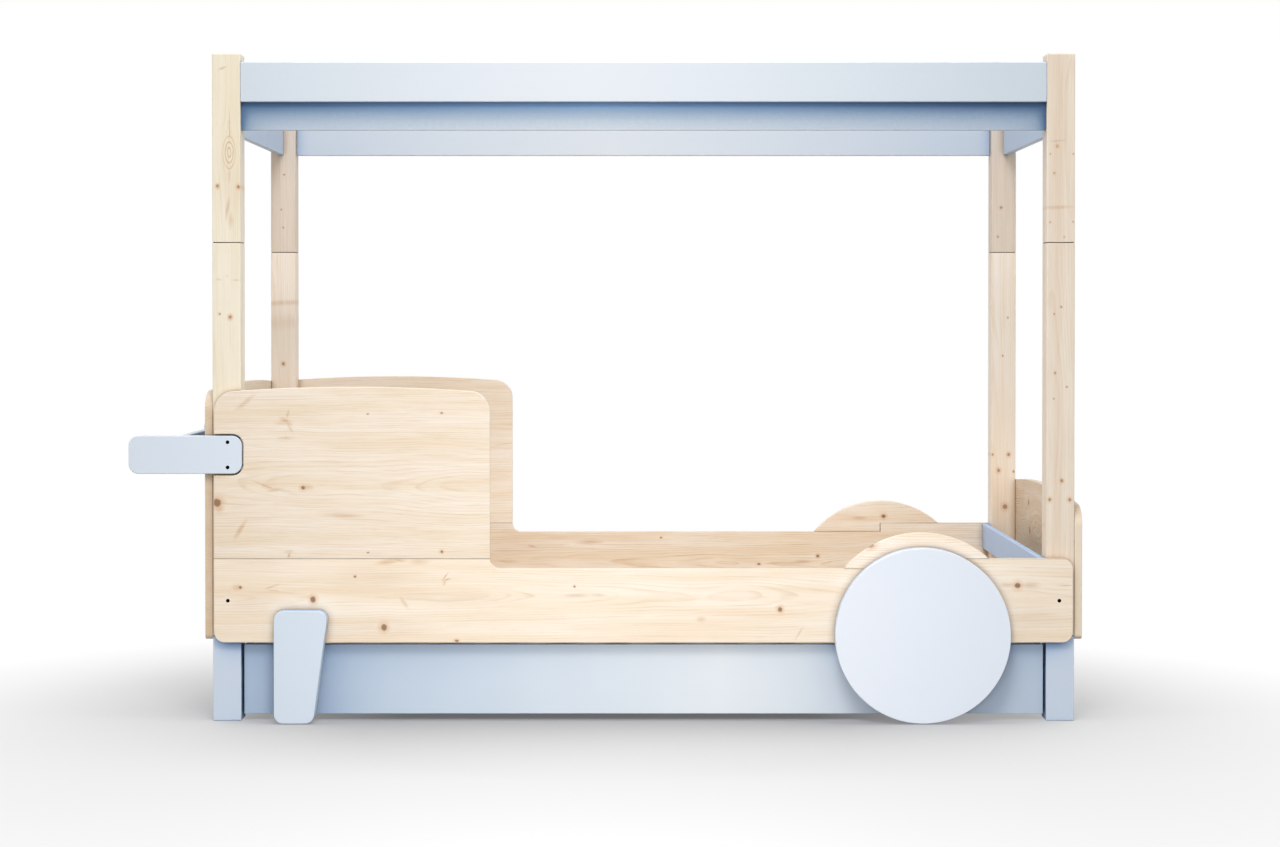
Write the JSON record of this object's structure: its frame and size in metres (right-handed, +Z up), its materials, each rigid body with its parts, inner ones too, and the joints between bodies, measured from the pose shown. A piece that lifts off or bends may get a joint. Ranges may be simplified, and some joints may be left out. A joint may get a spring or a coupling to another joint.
{
  "type": "car bed for children",
  "caption": "Children's bed in the shape of a car, with a canopy frame on tall posts, a hood, a bumper, round wheel discs and a pull-out trundle bed.",
  "frame": {"origin": "on the floor, under the middle of the outline in plan", "axes": "+X along the bed from the hood and bumper to the tail, -Y towards the near side where the trundle slides out, +Z up"},
  "size_m": [2.2986, 1.172, 1.61],
  "materials": {
    "pine": "clear matt lacquer on knotty pine",
    "slat_pine": "planed, unfinished",
    "plywood": "sanded, clear lacquer",
    "pale_blue_paint": "satin sprayed lacquer on board",
    "beech_dowel": "raw fluted beech",
    "zinc_steel": "bright zinc plate",
    "black_steel": "black oxide",
    "grey_tread": "moulded"
  },
  "bodies": {
    "bed": {"leg_nose_near": "pale_blue_paint", "leg_nose_far": "pale_blue_paint", "leg_tail_near": "pale_blue_paint", "leg_tail_far": "pale_blue_paint", "post_lower_nose_near": "pine", "post_lower_nose_far": "pine", "post_lower_tail_near": "pine", "post_lower_tail_far": "pine", "post_upper_nose_near": "pine", "post_upper_nose_far": "pine", "post_upper_tail_near": "pine", "post_upper_tail_far": "pine", "post_studs": "zinc_steel", "side_board_near": "pine", "side_board_far": "pine", "hood_board_near": "pine", "hood_board_far": "pine", "fender_near": "pine", "fender_far": "pine", "nose_panel": "pine", "tail_panel": "pine", "bumper_arm_near": "pale_blue_paint", "bumper_arm_far": "pale_blue_paint", "bumper_crossbar": "pale_blue_paint", "end_rail_nose": "pale_blue_paint", "end_rail_tail": "pale_blue_paint", "canopy_outer_near": "pale_blue_paint", "canopy_outer_far": "pale_blue_paint", "canopy_outer_nose": "pale_blue_paint", "canopy_outer_tail": "pale_blue_paint", "canopy_inner_near": "pale_blue_paint", "canopy_inner_far": "pale_blue_paint", "canopy_inner_nose": "pale_blue_paint", "canopy_inner_tail": "pale_blue_paint", "cleat_near": "slat_pine", "cleat_far": "slat_pine", "slats": "slat_pine", "frame_bolts": "black_steel", "barrel_nuts": "zinc_steel", "panel_screws": "zinc_steel", "frame_screws": "zinc_steel", "frame_dowels": "beech_dowel", "wheel_disc_far": "pale_blue_paint", "stand_leg_far": "pale_blue_paint"},
    "trundle": {"trundle_front": "pale_blue_paint", "trundle_back": "pale_blue_paint", "trundle_side_nose": "pale_blue_paint", "trundle_side_tail": "pale_blue_paint", "trundle_bottom": "plywood", "trundle_dowels": "beech_dowel", "trundle_screws": "zinc_steel", "front_spacers": "pale_blue_paint", "wheel_disc_near": "pale_blue_paint", "stand_leg_near": "pale_blue_paint", "castor_brackets": "zinc_steel", "castor_axles": "zinc_steel"},
    "castor_1": {"castor_wheel_1": "grey_tread"},
    "castor_2": {"castor_wheel_2": "grey_tread"},
    "castor_3": {"castor_wheel_3": "grey_tread"},
    "castor_4": {"castor_wheel_4": "grey_tread"}
  },
  "joints": [
    {"name": "trundle_slide", "type": "slide", "parent": "bed", "child": "trundle", "axis": [0, -1, 0], "range_m": [0, 1.08]},
    {"name": "castor_1_spin", "type": "hinge", "parent": "trundle", "child": "castor_1", "pos_m": [-0.73775, -0.397, 0.02], "axis": [1, 0, 0], "continuous": true},
    {"name": "castor_2_spin", "type": "hinge", "parent": "trundle", "child": "castor_2", "pos_m": [0.91825, -0.397, 0.02], "axis": [1, 0, 0], "continuous": true},
    {"name": "castor_3_spin", "type": "hinge", "parent": "trundle", "child": "castor_3", "pos_m": [-0.73775, 0.399, 0.02], "axis": [1, 0, 0], "continuous": true},
    {"name": "castor_4_spin", "type": "hinge", "parent": "trundle", "child": "castor_4", "pos_m": [0.91825, 0.399, 0.02], "axis": [1, 0, 0], "continuous": true}
  ]
}
